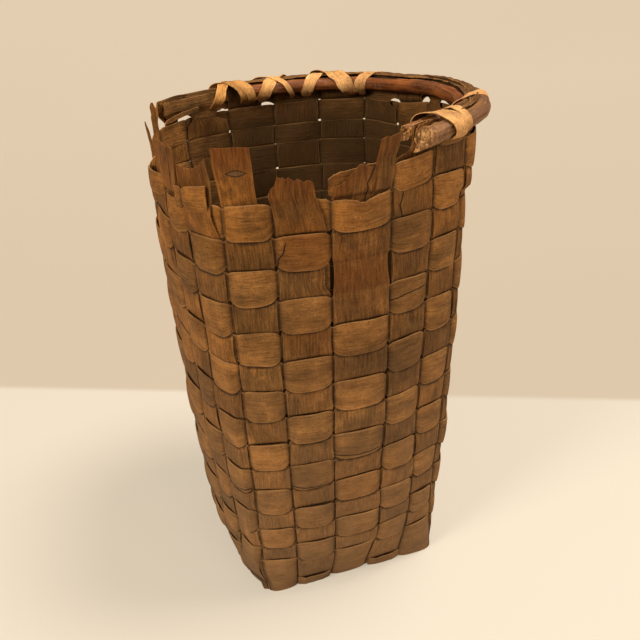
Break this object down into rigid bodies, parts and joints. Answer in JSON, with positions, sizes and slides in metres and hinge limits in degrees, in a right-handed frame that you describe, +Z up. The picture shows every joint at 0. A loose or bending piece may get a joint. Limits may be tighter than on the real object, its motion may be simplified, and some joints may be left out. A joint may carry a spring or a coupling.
{
  "type": "woven splint basket",
  "caption": "Tall open basket of flat wood splints woven over a square base, with a lashed hoop rim that is broken away at the front.",
  "frame": {"origin": "on the floor under the middle of the base", "axes": "+Z up along the basket's height; -Y towards the pictured face, where the rim is broken"},
  "size_m": [0.3475, 0.3604, 0.5485],
  "materials": {
    "stake_splint": "weathered, matt",
    "weaver_splint": "weathered, matt",
    "inner_hoop_stick": "bark on, satin",
    "outer_hoop_rod": "shaved, satin",
    "lashing_splint": "weathered, matt"
  },
  "bodies": {
    "root": {"stake_front_to_back_1": "stake_splint", "stake_front_to_back_2": "stake_splint", "stake_front_to_back_3": "stake_splint", "stake_front_to_back_4": "stake_splint", "stake_front_to_back_5": "stake_splint", "stake_side_to_side_1": "stake_splint", "stake_side_to_side_2": "stake_splint", "stake_side_to_side_3": "stake_splint", "stake_side_to_side_4": "stake_splint", "stake_side_to_side_5": "stake_splint", "weaver_row_01": "weaver_splint", "weaver_row_02": "weaver_splint", "weaver_row_03": "weaver_splint", "weaver_row_04": "weaver_splint", "weaver_row_05": "weaver_splint", "weaver_row_06": "weaver_splint", "weaver_row_07": "weaver_splint", "weaver_row_08": "weaver_splint", "weaver_row_09": "weaver_splint", "weaver_row_10": "weaver_splint", "weaver_row_11": "weaver_splint", "weaver_row_12": "weaver_splint", "weaver_row_13": "weaver_splint", "weaver_row_14": "weaver_splint", "weaver_row_15": "weaver_splint", "weaver_row_16": "weaver_splint", "weaver_row_17": "weaver_splint", "inner_hoop": "inner_hoop_stick", "outer_hoop": "outer_hoop_rod", "rim_filler_strip": "lashing_splint", "rim_lashing_1": "lashing_splint", "rim_lashing_2": "lashing_splint", "rim_lashing_3": "lashing_splint", "rim_lashing_4": "lashing_splint", "rim_lashing_5": "lashing_splint", "rim_lashing_6": "lashing_splint", "rim_lashing_7": "lashing_splint"}
  },
  "joints": []
}
